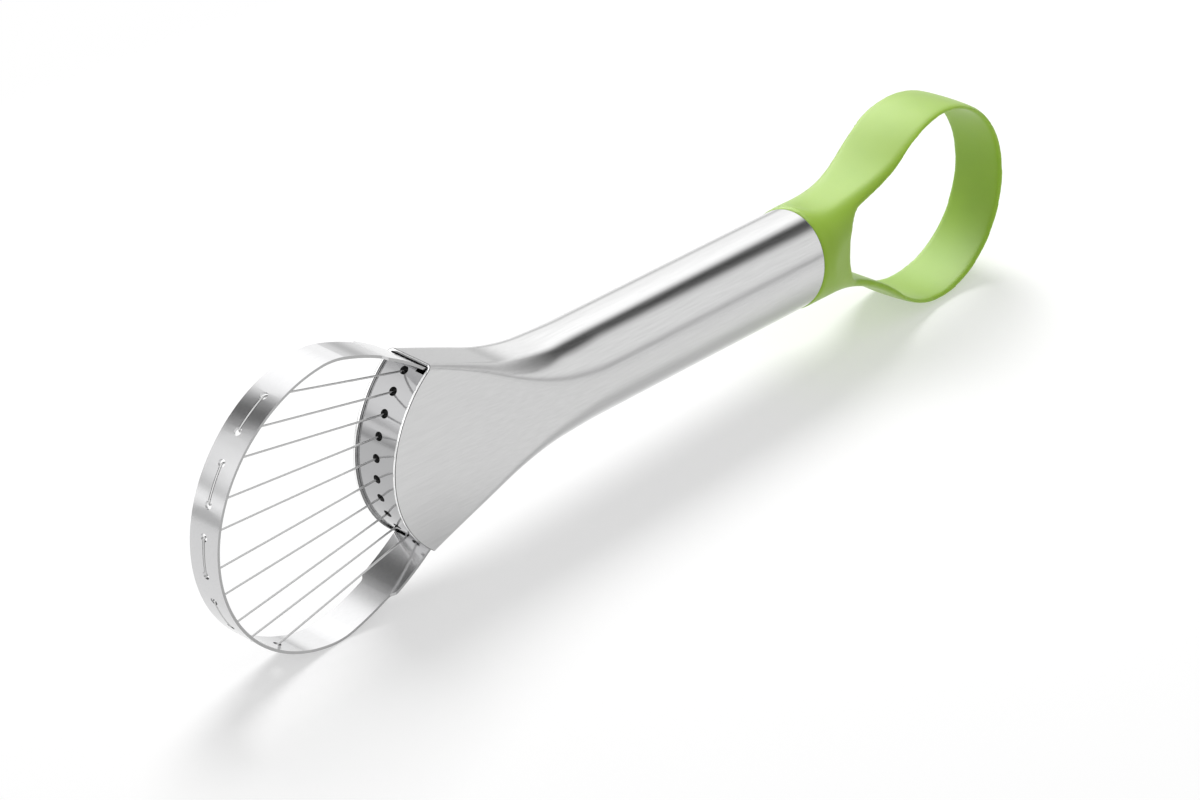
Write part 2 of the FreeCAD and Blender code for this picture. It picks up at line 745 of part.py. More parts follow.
def outline_z(x, side):
    """Height of the ring's outline: the waist's arc from where it starts to rise, then the circle."""
    centre, waist_radius, angle = waist_frame(side)
    join_x = ring_centre.x + size("ring_radius") * math.cos(math.radians(angle))
    if x <= centre.x:
        return side * size("waist_half_height")
    if x <= join_x:
        return centre.y - side * math.sqrt(waist_radius ** 2 - (x - centre.x) ** 2)
    return ring_centre.y + side * math.sqrt(size("ring_radius") ** 2 - (x - ring_centre.x) ** 2)


def ring_section(body, number):
    share, narrowed, squared = RING_SECTIONS[number]
    x = size("collar_length") + share * (size("ring_reach") - size("collar_length"))
    upper, lower = outline_z(x, 1), outline_z(x, -1)
    if number == 0:
        upper, lower = collar_radius, -collar_radius
    height = (upper - lower) / 2
    width = collar_radius * (1 - narrowed) + size("ring_crest_width") / 2 * narrowed
    corner = (width - ROUND_END_FLAT / 2) * (1 - squared) + size("ring_outer_edge") * squared
    collar_rule = "(Sizes.tube_diameter / 2 + Sizes.collar_lip)"
    height_rule = "%s + %.6f" % (collar_rule, height - collar_radius)
    width_rule = "(%s * %.6f + Sizes.ring_crest_width / 2 * %.6f)" % (collar_rule, 1 - narrowed, narrowed)
    corner_rule = "(%s - %.4f) * %.6f + Sizes.ring_outer_edge * %.6f" % (
        width_rule, ROUND_END_FLAT / 2, 1 - squared, squared)
    return section_sketch(body, "section_%d" % number, x, (height, height_rule), (width, width_rule),
                          (corner, corner_rule), (upper + lower) / 2)


def arc_between(centre, radius, low, high):
    circle = Part.Circle(centre, Vector(0, 0, 1), radius)
    return Part.ArcOfCircle(circle, math.radians(low), math.radians(high))


def ring_opening():
    """The hole up to the ring's crest: inside the band and both waists, closed by the web's edge."""
    inset = size("ring_thickness")
    corner = size("opening_corner_radius")
    web_x = size("web_length")
    inner = size("ring_radius") - inset
    edges = []
    corner_heights = []
    for side in (1, -1):
        centre, radius, ring_angle = waist_frame(side, inset, size("waist_half_height") - size("waist_thickness"))
        run = web_x + corner - centre.x
        drop = math.sqrt((radius + corner) ** 2 - run ** 2)
        corner_z = centre.y - side * drop
        meet = math.degrees(math.atan2(-side * drop, run))
        crest = 90 * side
        arcs = ((centre, radius, meet, ring_angle - 180 * side),
                (Vector(web_x + corner, corner_z, 0), corner, meet + 180 * side, 180),
                (ring_centre, inner, crest, ring_angle))
        for arc_centre, arc_radius, first, last in arcs:
            low, high = (first, last) if side > 0 else (last, first)
            edges.append(arc_between(arc_centre, arc_radius, low, high))
        corner_heights.append(corner_z)
    crest_x = ring_centre.x
    beyond = crest_x + size("ring_radius")
    top, bottom = ring_centre.y + inner, ring_centre.y - inner
    edges += polygon(((crest_x, bottom), (beyond, bottom), (beyond, top), (crest_x, top)))[:-1]
    edges.append(Part.LineSegment(Vector(web_x, corner_heights[0], 0), Vector(web_x, corner_heights[1], 0)))
    return edges


def make_half_ring():
    """The half of the ring past its crest: a turned band whose sides close in towards the tip."""
    body = new_body("half_ring")
    frame = Placement(Vector(ring_centre.x, 0, ring_centre.y), Rotation())
    outer = size("ring_radius")
    inner = outer - size("ring_thickness")
    spare = size("ring_crest_width")
    profile = new_sketch(body, "half_ring_section", "XY_Plane",
                         polygon(((inner, -spare), (outer, -spare), (outer, spare), (inner, spare))), frame)
    half = body.newObject("PartDesign::Revolution", "turned_band")
    half.Profile = profile
    half.ReferenceAxis = (profile, ["V_Axis"])
    half.Angle = 180
    half.Midplane = True
    doc.recompute()

    crest_y = size("ring_crest_width") / 2
    tip_y = size("ring_tip_width") / 2
    beyond = 2 * outer
    beyond_y = crest_y - (crest_y - tip_y) * beyond / outer
    sides = []
    for side in (1, -1):
        sides += polygon(((0, side * crest_y), (beyond, side * beyond_y), (beyond, side * 2 * spare),
                          (0, side * 2 * spare)))
    taper = through_pocket(body, "taper", new_sketch(body, "ring_sides", "XY_Plane", sides, frame))
    doc.recompute()

    last = taper
    middle = ring_centre.x + (outer + inner) / 2
    for name, rule, is_outer in (("outer_edges", "Sizes.ring_outer_edge", True),
                                 ("inner_edges", "Sizes.ring_inner_edge", False)):
        edges = []
        for number, edge in enumerate(last.Shape.Edges, start=1):
            reach = edge.BoundBox.XMax
            across = edge.BoundBox.YLength > spare / 2
            if reach > ring_centre.x + inner / 2 and (reach > middle) == is_outer and not across:
                edges.append("Edge%d" % number)
        rounding = body.newObject("PartDesign::Fillet", name)
        rounding.Base = (last, edges)
        rounding.setExpression("Radius", rule)
        doc.recompute()
        last = rounding
    return body


def is_ring_wall(face):
    """True for a wall cut straight through the ring, false for the envelope's skin and the spigot."""
    if isinstance(face.Surface, Part.Cylinder):
        return abs(face.Surface.Axis.y) > 0.9
    return isinstance(face.Surface, Part.Plane) and abs(face.CenterOfGravity.x - size("web_length")) < 0.01


def ring_edge_names(shape):
    """Names of the edges where a wall of the ring meets the envelope's skin."""
    walls = [edge for face in shape.Faces if is_ring_wall(face) for edge in face.Edges]
    skins = [edge for face in shape.Faces if isinstance(face.Surface, Part.BSplineSurface)
             for edge in face.Edges]
    names = []
    for number, edge in enumerate(shape.Edges, start=1):
        on_wall = any(edge.isSame(other) for other in walls)
        on_skin = any(edge.isSame(other) for other in skins)
        across = edge.BoundBox.XLength < 0.01 and edge.BoundBox.YLength > 1
        if on_wall and on_skin and not across:
            names.append("Edge%d" % number)
    return names


def make_pitter_loop():
    body = new_body("pitter_loop")
    collar_sketch = new_sketch(body, "collar_section", "YZ_Plane",
                               [Part.Circle(Vector(), Vector(0, 0, 1), collar_radius)],
                               Placement(Vector(0, 0, size("collar_length")), Rotation()))
    name_radius(collar_sketch, 0, "collar_radius", "Sizes.tube_diameter / 2 + Sizes.collar_lip")
    collar = body.newObject("PartDesign::Pad", "collar")
    collar.Profile = collar_sketch
    collar.Reversed = True
    collar.setExpression("Length", "Sizes.collar_length * 2")
    doc.recompute()
    joint = joint_cutter(size("joint_gap"), False)
    turned_back = Placement(Vector(), Rotation(Vector(1, 0, 0), -size("ring_turn")))
    through_pocket(body, "joint_trim", new_sketch(body, "joint_end", "XZ_Plane", joint, turned_back))
    doc.recompute()
    sections = [ring_section(body, number) for number in range(len(RING_SECTIONS))]
    loft(body, "AdditiveLoft", "envelope", sections)
    doc.recompute()
    through_pocket(body, "ring_hole", new_sketch(body, "opening", "XZ_Plane", ring_opening()))
    doc.recompute()
    crest_x = ring_centre.x
    far = 2 * size("ring_radius")
    beyond = crest_x + far
    past_crest = polygon(((crest_x, -far), (beyond, -far), (beyond, far), (crest_x, far)))
    trim = through_pocket(body, "crest_trim", new_sketch(body, "past_crest", "XZ_Plane", past_crest))
    doc.recompute()
    rounding = body.newObject("PartDesign::Fillet", "inner_rounding")
    rounding.Base = (trim, ring_edge_names(trim.Shape))
    rounding.setExpression("Radius", "Sizes.ring_inner_edge")
    doc.recompute()

    join = body.newObject("PartDesign::Boolean", "ring_join")
    join.Type = "Fuse"
    join.setObjects([make_half_ring()])
    doc.recompute()

    spigot_radius = tube_radius - size("tube_wall") - size("spigot_clearance")
    root = size("web_length") / 2
    spigot_sketch = new_sketch(body, "spigot_section", "YZ_Plane",
                               [Part.Circle(Vector(), Vector(0, 0, 1), spigot_radius)],
                               Placement(Vector(0, 0, root), Rotation()))
    name_radius(spigot_sketch, 0, "spigot_radius",
                "Sizes.tube_diameter / 2 - Sizes.tube_wall - Sizes.spigot_clearance")
    spigot = body.newObject("PartDesign::Pad", "spigot")
    spigot.Profile = spigot_sketch
    spigot.Reversed = True
    spigot.setExpression("Length", "Sizes.spigot_length + %.4f" % root)
    doc.recompute()
    bore_start = Placement(Vector(0, 0, -size("spigot_length")), Rotation())
    bore_sketch = new_sketch(body, "bore_section", "YZ_Plane",
                             [Part.Circle(Vector(), Vector(0, 0, 1), size("spigot_bore") / 2)], bore_start)
    name_radius(bore_sketch, 0, "bore_radius", "Sizes.spigot_bore / 2")
    bore = body.newObject("PartDesign::Pocket", "spigot_hollow")
    bore.Profile = bore_sketch
    bore.Reversed = True
    bore.setExpression("Length", "Sizes.spigot_bore_depth")
    doc.recompute()
    body.Placement = Placement(Vector(), Rotation(Vector(1, 0, 0), size("ring_turn")))
    return body


# The standing place: the tool rests on its edge, on the loop's shoulder and on the ring


def standing_place():
    shoulder = band[3]
    rest = Vector(shoulder["centre"].x, -shoulder["centre"].y, 0)
    rest_radius = shoulder["radius"] + size("band_thickness") / 2
    turn = math.radians(abs(size("ring_turn")))
    edge = size("ring_outer_edge")
    foot_radius = ((size("ring_radius") - edge) * math.cos(turn)
                   + (size("ring_crest_width") / 2 - edge) * math.sin(turn) + edge)
    foot = Vector(ring_centre.x, ring_centre.y * math.cos(turn), 0)
    across = foot - rest
    phase = math.degrees(math.atan2(across.y, across.x))
    climb = math.degrees(math.asin((foot_radius - rest_radius) / across.Length))
    tilt = phase - climb
    lean = Rotation(Vector(0, 1, 0), tilt)
    foot_now = lean.multVec(Vector(foot.x, 0, foot.y))
    loop_now = lean.multVec(Vector(loop_centre.x, 0, 0))
    high_x = foot_now.x + size("ring_radius")
    low_x = loop_now.x - bridge_radius - size("strand_diameter") / 2
    print("tilt %.4f degrees, length %.3f mm" % (tilt, high_x - low_x))
    return Placement(Vector(-(high_x + low_x) / 2, 0, foot_radius - foot_now.z), lean)


pieces = [make_handle_tube(), make_cutting_band(), make_saddle_plate()]
pieces += [make_cutting_wire(number) for number in range(PAIR_COUNT)]
pieces += [make_crimp_sleeve(number) for number in range(HOLE_COUNT)]
pieces += [make_tab_rivet("tab_rivet_top", False), make_tab_rivet("tab_rivet_bottom", True)]
pieces += [make_pitter_loop()]

stand = standing_place()
for piece in pieces:
    piece.Placement = stand.multiply(piece.Placement)
doc.recompute()

for item in doc.Objects:
    if "Invalid" in item.State or "Error" in item.State:
        raise RuntimeError("%s failed: %s" % (item.Label, item.State))
for piece in pieces:
    shape = piece.Shape
    if shape.isNull() or not shape.isValid():
        raise RuntimeError(piece.Label + " has no valid shape")

os.makedirs("parts", exist_ok=True)
for piece in pieces:
    piece.Shape.exportStep("parts/%s.step" % piece.Label)
    print("%-18s solids %d  volume %9.2f mm3" % (piece.Label, len(piece.Shape.Solids), piece.Shape.Volume))
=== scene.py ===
# %% [markdown]
# # An avocado slicer, dressed for the camera
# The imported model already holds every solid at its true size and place. This lesson gives each piece
# the finish of the real one, remodels the pieces whose edges and swells show, and lights them plainly.

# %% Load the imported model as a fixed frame
from math import cos, degrees, pi, radians, sin, sqrt, tan

import bmesh
import bpy
from mathutils import Matrix, Vector


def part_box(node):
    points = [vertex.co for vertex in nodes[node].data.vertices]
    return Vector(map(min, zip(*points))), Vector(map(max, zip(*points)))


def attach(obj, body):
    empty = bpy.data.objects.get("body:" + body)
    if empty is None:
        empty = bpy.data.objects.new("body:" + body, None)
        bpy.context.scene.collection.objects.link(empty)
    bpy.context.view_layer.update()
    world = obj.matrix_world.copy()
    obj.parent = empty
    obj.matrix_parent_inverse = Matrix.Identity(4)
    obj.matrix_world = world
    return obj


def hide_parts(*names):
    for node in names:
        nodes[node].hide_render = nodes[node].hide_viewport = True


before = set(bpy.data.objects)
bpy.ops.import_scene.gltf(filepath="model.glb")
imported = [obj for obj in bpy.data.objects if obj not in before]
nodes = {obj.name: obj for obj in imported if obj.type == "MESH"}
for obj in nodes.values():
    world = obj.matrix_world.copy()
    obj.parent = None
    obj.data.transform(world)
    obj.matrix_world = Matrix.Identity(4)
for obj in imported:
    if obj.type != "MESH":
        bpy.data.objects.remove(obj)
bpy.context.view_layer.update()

print("pieces in the frame:", len(nodes))

# %% [markdown]
# ## The camera
# The photograph was taken with a long lens from above the left front. A camera could be placed by hand
# until it fits, but then nobody could say where it is. A place to look at, two angles, a small roll and
# a distance say it in plain values, and they are turned into one matrix. A long lens far away keeps the
# handle's sides nearly parallel, as they are in the picture.

# %% Camera
MM = 0.001
CAMERA_TARGET = Vector((-10.0 * MM, 0.0, 20.3 * MM))
CAMERA_AZIMUTH = radians(-45.83)
CAMERA_ELEVATION = radians(30.84)
CAMERA_ROLL = radians(-2.01)
CAMERA_DISTANCE = 956.8 * MM
LENS_MM = 120
SENSOR_MM = 36

toward_camera = Vector((sin(CAMERA_AZIMUTH) * cos(CAMERA_ELEVATION),
                        -cos(CAMERA_AZIMUTH) * cos(CAMERA_ELEVATION),
                        sin(CAMERA_ELEVATION)))
camera_data = bpy.data.cameras.new("studio_camera")
camera_data.lens = LENS_MM
camera_data.sensor_width = SENSOR_MM
camera = bpy.data.objects.new("studio_camera", camera_data)
bpy.context.scene.collection.objects.link(camera)
facing = toward_camera.to_track_quat("Z", "Y").to_matrix().to_4x4()
camera.matrix_world = (Matrix.Translation(CAMERA_TARGET + toward_camera * CAMERA_DISTANCE)
                       @ (facing @ Matrix.Rotation(CAMERA_ROLL, 4, "Z")))
bpy.context.scene.camera = camera
bpy.context.scene.view_settings.view_transform = "Standard"
print("camera at", [round(value, 4) for value in camera.location])

# %% [markdown]
# ## Small helpers for node materials
# A material is a graph of nodes, and a graph written out link by link is hard to read. These helpers
# make one node each and join it up in the same line. A socket is set to a number, or linked when it is
# given another node's socket.

# %% Node helpers


def plug(tree, socket, value):
    """Set a socket to a value, or link it when the value is another node's socket."""
    if isinstance(value, bpy.types.NodeSocket):
        tree.links.new(value, socket)
    else:
        socket.default_value = value


def add_node(tree, kind, **settings):
    """A shader node; base_color=... fills the socket Base Color, any other name is the node's own."""
    node = tree.nodes.new("ShaderNode" + kind)
    for name, value in settings.items():
        wanted = name.replace("_", " ").lower()
        socket = next((s for s in node.inputs if s.name.lower() == wanted and s.enabled), None)
        if socket is None:
            setattr(node, name, value)
        else:
            plug(tree, socket, value)
    return node


def compute(tree, operation, *values):
    """The result of one Math node; each value is a number or a socket."""
    node = tree.nodes.new("ShaderNodeMath")
    node.operation = operation
    for socket, value in zip(node.inputs, values):
        plug(tree, socket, value)
    return node.outputs[0]


def ramp(tree, factor, stops):
    """A colour ramp; stops are (position, grey level or colour)."""
    node = tree.nodes.new("ShaderNodeValToRGB")
    elements = node.color_ramp.elements
    while len(elements) > 1:
        elements.remove(elements[-1])
    for number, (position, level) in enumerate(stops):
        element = elements[0] if number == 0 else elements.new(position)
        element.position = position
        colour = (level, level, level) if isinstance(level, (int, float)) else level
        element.color = (*colour, 1)
    tree.links.new(factor, node.inputs[0])
    return node.outputs[0]


def mix_levels(tree, share, first, second):
    """The first level where the share is 0, the second where it is 1."""
    node = add_node(tree, "Mix", data_type="FLOAT")
    for place, value in ((0, share), (2, first), (3, second)):
        tree.links.new(value, node.inputs[place])
    return node.outputs[0]


def mix_shaders(tree, share, first, second):
    """The first shader where the share is 0, the second where it is 1."""
    node = add_node(tree, "MixShader")
    for socket, value in zip(node.inputs, (share, first, second)):
        tree.links.new(value, socket)
    return node.outputs[0]


def lean_along(tree, direction, way):
    """How far a direction leans along a way, from 0 to 1, which is the range that a ramp reads."""
    node = add_node(tree, "VectorMath", operation="DOT_PRODUCT")
    tree.links.new(direction, node.inputs[0])
    node.inputs[1].default_value = way
    return compute(tree, "MULTIPLY_ADD", node.outputs["Value"], 0.5, 0.5)


def new_material(name):
    """An empty node material, its tree and its output node."""
    material = bpy.data.materials.new(name)
    material.use_nodes = True
    tree = material.node_tree
    tree.nodes.clear()
    return material, tree, tree.nodes.new("ShaderNodeOutputMaterial")


# %% [markdown]
# ## The studio that the steel sees
# Polished steel has no look of its own: it shows the room. Real walls and panels could be built round
# the tool, but they would also change the light on everything else. So the world holds that room as a
# pattern over directions, one part of it in each of the next steps.

# %% Directions in the world
world = bpy.data.worlds.new("studio_world")
world.use_nodes = True
bpy.context.scene.world = world
tree = world.node_tree
tree.nodes.clear()
direction = add_node(tree, "TexCoord").outputs["Generated"]
x, y, z = add_node(tree, "SeparateXYZ", vector=direction).outputs
print("world made:", world.name)

# %% [markdown]
# ### Ceiling, gap and back wall
# Along the tube the photograph shows a pale band, a dark stripe and a bright band. A pale ceiling that
# stops short of a bright wall draws that, because the gap between them stays dark. Blurred patches on
# a sphere would bend the stripe. A direction's level part divided by its height is how far along a flat
# ceiling it lands, and ramps over that reach have straight edges, as a real ceiling has.

# %% Ceiling, gap and back wall
CEILING = 1.12
CEILING_GAIN_TO_LEFT = 0.5
CEILING_STOPS = [(0.685, 1.0), (0.722, 0.6), (0.742, 0.0)]
WALL = 1.40
WALL_WAY = (0.602, 0.798)
WALL_STOPS = [(0.765, 0.0), (0.80, 0.18), (0.845, 0.62), (0.865, 1.0)]
PANEL = 0.32
PANEL_HEIGHT_STOPS = [(0.33, 0.0), (0.62, 1.0)]
PANEL_SHIFT = 0.2
PANEL_SIDE_STOPS = [(0.1, 0.0), (0.55, 1.0)]
GAP = 0.06
LOWEST_HEIGHT = 0.02

to_wall = compute(tree, "ADD", compute(tree, "MULTIPLY", x, WALL_WAY[0]),
                  compute(tree, "MULTIPLY", y, WALL_WAY[1]))
reach = compute(tree, "DIVIDE", to_wall, compute(tree, "MAXIMUM", z, LOWEST_HEIGHT))
across = compute(tree, "MULTIPLY_ADD", reach, 0.5, 0.5)
left = compute(tree, "MAXIMUM", compute(tree, "MULTIPLY", x, -1.0), 0.0)
ceiling = compute(tree, "MULTIPLY", ramp(tree, across, CEILING_STOPS),
                  compute(tree, "MULTIPLY_ADD", left, CEILING_GAIN_TO_LEFT, CEILING))
panel = compute(tree, "MULTIPLY", ramp(tree, z, PANEL_HEIGHT_STOPS),
                ramp(tree, compute(tree, "ADD", x, PANEL_SHIFT), PANEL_SIDE_STOPS))
wall = compute(tree, "MULTIPLY", ramp(tree, across, WALL_STOPS),
               compute(tree, "MULTIPLY_ADD", panel, PANEL, WALL))
overhead = compute(tree, "MAXIMUM", compute(tree, "ADD", ceiling, wall), GAP)
print("ceiling", CEILING, "wall", WALL, "gap", GAP)

# %% [markdown]
# ### The dark right side
# The faces of the band that look to the right are dark in the photograph, and darker the higher they
# look. A dark screen could stand there. Two soft-edged planes through the middle of the world cut out
# the same wedge of directions, and inside it the level falls with height.

# %% Dark right side
RIGHT_EDGES = ((0.555, -0.734, -0.391), (0.469, 0.845, -0.255))
RIGHT_EDGE_STOPS = [(0.452, 0.0), (0.525, 1.0)]
RIGHT_TOP = 0.72
RIGHT_FALL = 1.8

first_edge, second_edge = (ramp(tree, lean_along(tree, direction, way), RIGHT_EDGE_STOPS)
                           for way in RIGHT_EDGES)
wedge = compute(tree, "MULTIPLY", first_edge, second_edge)
fall = compute(tree, "MULTIPLY", compute(tree, "SUBTRACT", RIGHT_TOP, z), RIGHT_FALL)
upper_half = mix_levels(tree, wedge, overhead, compute(tree, "MAXIMUM", fall, GAP))
print("the right side is darkest above a height of", round(RIGHT_TOP - GAP / RIGHT_FALL, 2))

# %% [markdown]
# ### The horizon
# Low on the tube runs a soft grey line: the far rim of the sweep. Below it the steel shows the paper,
# above it the room. It isn't quite level in the photograph, so the height is measured along a way
# that leans a little, and one ramp over it blends the lower half into the upper half.

# %% Horizon
HORIZON_LEAN = (-0.064, 0.077, 1.0)
HORIZON = 0.63
SWEEP = 0.98
ABOVE_STOPS = [(0.495, 0.0), (0.52, 0.45), (0.56, 0.92), (0.60, 1.0)]
BELOW_STOPS = [(0.44, SWEEP), (0.475, HORIZON)]

height = lean_along(tree, direction, HORIZON_LEAN)
studio = mix_levels(tree, ramp(tree, height, ABOVE_STOPS), ramp(tree, height, BELOW_STOPS), upper_half)
print("horizon", HORIZON, "sweep", SWEEP)

# %% [markdown]
# ### Who sees what
# The picture above would light the tool unevenly, and the photograph's background is plain white. Light
# Path tells the rays apart: reflections see the studio, the camera sees white, and soft light is an
# even grey.

# %% Join the world
AMBIENT = 0.52
WHITE = (1.0, 1.0, 1.0, 1.0)

seen = add_node(tree, "Background", color=WHITE, strength=studio)
soft = add_node(tree, "Background", color=WHITE, strength=AMBIENT)
white = add_node(tree, "Background", color=WHITE, strength=1.0)
path = add_node(tree, "LightPath")
shiny = compute(tree, "MAXIMUM", path.outputs["Is Glossy Ray"], path.outputs["Is Transmission Ray"])
lit = mix_shaders(tree, shiny, soft.outputs[0], seen.outputs[0])
shown = mix_shaders(tree, path.outputs["Is Camera Ray"], lit, white.outputs[0])
tree.links.new(shown, tree.nodes.new("ShaderNodeOutputWorld").inputs[0])
print("nodes in the world:", len(tree.nodes))

# %% [markdown]
# ## Two lamps
# The shadows fall short and soft towards the viewer, so one broad lamp hangs high up behind the tool. It
# is kept out of reflections, because the world already holds what the steel shows. The moulded ring also
# has a wide milky sheen. A brighter world would give it that, but would burn out the steel. So a second
# lamp gives gloss and no other light, and is linked to the ring alone once the ring is made.

# %% Lamps
LAMP_DISTANCE = 1.2
LAMP_FROM = Vector((0.40, 0.51, 1.0))
LAMP_SIZE = 0.60
LAMP_WATTS = 9.5
SHEEN_LAMP_FROM = Vector((0.23, 0.71, 0.67))
SHEEN_LAMP_SIZE = 1.3
SHEEN_LAMP_WATTS = 24.0


def add_lamp(name, way, size, watts):
    """A round softbox that hangs out along a way and looks back at the tool."""
    lamp_data = bpy.data.lights.new(name, "AREA")
    lamp_data.shape = "DISK"
    lamp_data.size = size
    lamp_data.energy = watts
    lamp = bpy.data.objects.new(name, lamp_data)
    bpy.context.scene.collection.objects.link(lamp)
    lamp.matrix_world = (Matrix.Translation(way.normalized() * LAMP_DISTANCE)
                         @ way.to_track_quat("Z", "Y").to_matrix().to_4x4())
    print(name, "at", [round(value, 2) for value in lamp.location])
    return lamp


lamp = add_lamp("overhead_softbox", LAMP_FROM, LAMP_SIZE, LAMP_WATTS)
lamp.visible_glossy = False
sheen_lamp = add_lamp("ring_softbox", SHEEN_LAMP_FROM, SHEEN_LAMP_SIZE, SHEEN_LAMP_WATTS)
sheen_lamp.visible_diffuse = False
sheen_lamp.light_linking.receiver_collection = bpy.data.collections.new("lit_by_ring_softbox")

# %% [markdown]
# ## The floor
# The tool lies on white paper that shows its shadow and has no edge. A curved sweep could be modelled,
# but seen from another side it would stand in the way. So the floor is a disc. Its glow lifts the
# paper to the photograph's white with no more light on the tool. Beyond an oval round the tool it turns
# clear for the camera and for reflections, so its rim and the shading there never show.

# %% Floor
FLOOR_RADIUS = 0.45
FLOOR_SEGMENTS = 96
FLOOR_COLOUR = (0.62, 0.62, 0.62, 1)
FLOOR_GLOW = 0.40
OVAL_SCALE = (0.62, 1.0, 1.0)
OVAL_STOPS = [(0.21, 0.0), (0.27, 1.0)]

mesh = bpy.data.meshes.new("floor")
shape = bmesh.new()
bmesh.ops.create_circle(shape, cap_ends=True, segments=FLOOR_SEGMENTS, radius=FLOOR_RADIUS)
shape.to_mesh(mesh)
shape.free()
floor = bpy.data.objects.new("floor", mesh)
bpy.context.scene.collection.objects.link(floor)
material, tree, output = new_material("floor_paper")
path = add_node(tree, "LightPath")
paper = add_node(tree, "BsdfDiffuse", color=FLOOR_COLOUR)
glow = add_node(tree, "Emission", color=WHITE, strength=FLOOR_GLOW)
glowing_paper = add_node(tree, "AddShader")
tree.links.new(paper.outputs[0], glowing_paper.inputs[0])
tree.links.new(glow.outputs[0], glowing_paper.inputs[1])
oval = add_node(tree, "Mapping", vector=add_node(tree, "TexCoord").outputs["Object"])
oval.inputs["Scale"].default_value = OVAL_SCALE
away = add_node(tree, "VectorMath", operation="LENGTH")
tree.links.new(oval.outputs[0], away.inputs[0])
looking = compute(tree, "MAXIMUM", path.outputs["Is Camera Ray"], path.outputs["Is Glossy Ray"])
far = compute(tree, "MULTIPLY", ramp(tree, away.outputs["Value"], OVAL_STOPS), looking)
clear = add_node(tree, "BsdfTransparent")
tree.links.new(mix_shaders(tree, far, glowing_paper.outputs[0], clear.outputs[0]), output.inputs[0])
floor.data.materials.append(material)
print("floor radius", FLOOR_RADIUS, "m")

# %% [markdown]
# ## The tool's own axes
# The tool lies on its narrow edge, tilted a little. The brushing follows its length and the new pieces
# are drawn along it, so both need the tool's own axes. One matrix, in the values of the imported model,
# takes a place on the tool in millimetres to its place on the floor in metres.

# %% From the tool to the floor
TILT = radians(2.28002)
STAND_X = 57.9442
STAND_Z = 29.9498

to_floor = (Matrix.Scale(MM, 4) @ Matrix.Translation((STAND_X, 0, STAND_Z))
            @ Matrix.Rotation(TILT, 4, "Y"))
print("the tool's axis leans by", round(degrees(TILT), 2), "degrees")

# %% [markdown]
# ## Steel
# All the metal is the same stainless sheet and wire, and what differs is how it was finished: brushed
# along the handle, rolled on the band, polished on the plate, drawn on the wires, and raw where it was
# sheared. The walls of the punched holes, the band's grooves, the mouth's rim bevels and the sleeves are
# near-black as painted shade, and the plate's low grey is painted shade for its dark reflections. One
# function makes them all: a grey metal with a fine grain stretched along the tool and slow patches in
# its gloss. Stretched noise is chosen because it follows the tool without a picture or a flattened skin.

# %% Steel finishes
GRAIN_STRETCH = (120, 2400, 2400)
GRAIN_STOPS = (0.3, 0.7)
PATCH_SCALE = 60.0
PATCH_GLOSS = 0.03
SCRATCH_DEPTH = 0.00001


def steel(name, colour, roughness, streak=0.0, bump=0.0, spread=0.06):
    """A steel; streak varies its grey along the grain, and spread varies its roughness."""
    material, tree, output = new_material(name)
    place = add_node(tree, "TexCoord").outputs["Object"]
    level = add_node(tree, "Mapping", vector=place)
    level.inputs["Rotation"].default_value = (0, -TILT, 0)
    stretch = add_node(tree, "Mapping", vector=level.outputs[0])
    stretch.inputs["Scale"].default_value = GRAIN_STRETCH
    grain = add_node(tree, "TexNoise", vector=stretch.outputs[0], scale=1.0, detail=3.0).outputs["Fac"]
    patches = add_node(tree, "TexNoise", vector=place, scale=PATCH_SCALE, detail=2.0).outputs["Fac"]
    low = tuple(part * (1 - streak) for part in colour)
    high = tuple(part * (1 + streak) for part in colour)
    shade = ramp(tree, grain, list(zip(GRAIN_STOPS, (low, high))))
    rough = compute(tree, "MULTIPLY_ADD", grain, spread, roughness - spread / 2)
    rough = compute(tree, "MULTIPLY_ADD", patches, PATCH_GLOSS, rough)
    metal = add_node(tree, "BsdfPrincipled", base_color=shade, metallic=1.0, roughness=rough)
    if bump:
        scratches = add_node(tree, "Bump", strength=bump, distance=SCRATCH_DEPTH, height=grain)
        tree.links.new(scratches.outputs[0], metal.inputs["Normal"])
    tree.links.new(metal.outputs[0], output.inputs[0])
    print("finish made:", name)
    return material


handle_steel = steel("handle_brushed_steel", (0.60, 0.60, 0.60), 0.165, streak=0.035, bump=0.1)
edge_steel = steel("polished_cut_edge", (0.92, 0.92, 0.92), 0.15)
# painted shade: a near-black steel for the bevels of the mouth's rims and for the band's grooves
painted_shade_steel = steel("painted_shade_line", (0.05, 0.05, 0.05), 0.4)
band_steel = steel("band_satin_steel", (0.62, 0.62, 0.625), 0.115, streak=0.02, spread=0.02)
# the polish is real; the low grey is painted shade for the plate's dark reflections inside the mouth
plate_painted_shade_steel = steel("plate_polished_painted_shade", (0.42, 0.42, 0.425), 0.09, streak=0.01, spread=0.02)
# painted shade: near-black walls make the plate's holes look dark
painted_hole_shade = steel("painted_hole_shade_steel", (0.04, 0.04, 0.04), 0.5)
wire_steel = steel("drawn_wire_steel", (0.54, 0.54, 0.54), 0.25, streak=0.01)
rim_steel = steel("sheared_rim_steel", (0.42, 0.42, 0.42), 0.3)
# painted shade: near-black sleeves darken the view into the plate's holes
crimp_painted_shade = steel("crimp_painted_shade_steel", (0.03, 0.03, 0.03), 0.6, streak=0.2)
rivet_steel = steel("rivet_satin_steel", (0.60, 0.60, 0.60), 0.25, streak=0.05)

# %% [markdown]
# ## Green plastic
# The ring is moulded in a dense green plastic with a fine matt skin. Light goes a little way into it,
# which lifts its shaded side, and a soft bloom covers its curves. A plain glossy green would look like
# paint. So it has a little subsurface light and sheen, slow cloudiness in the colour, and a fine noise
# that roughens both the gloss and the skin.

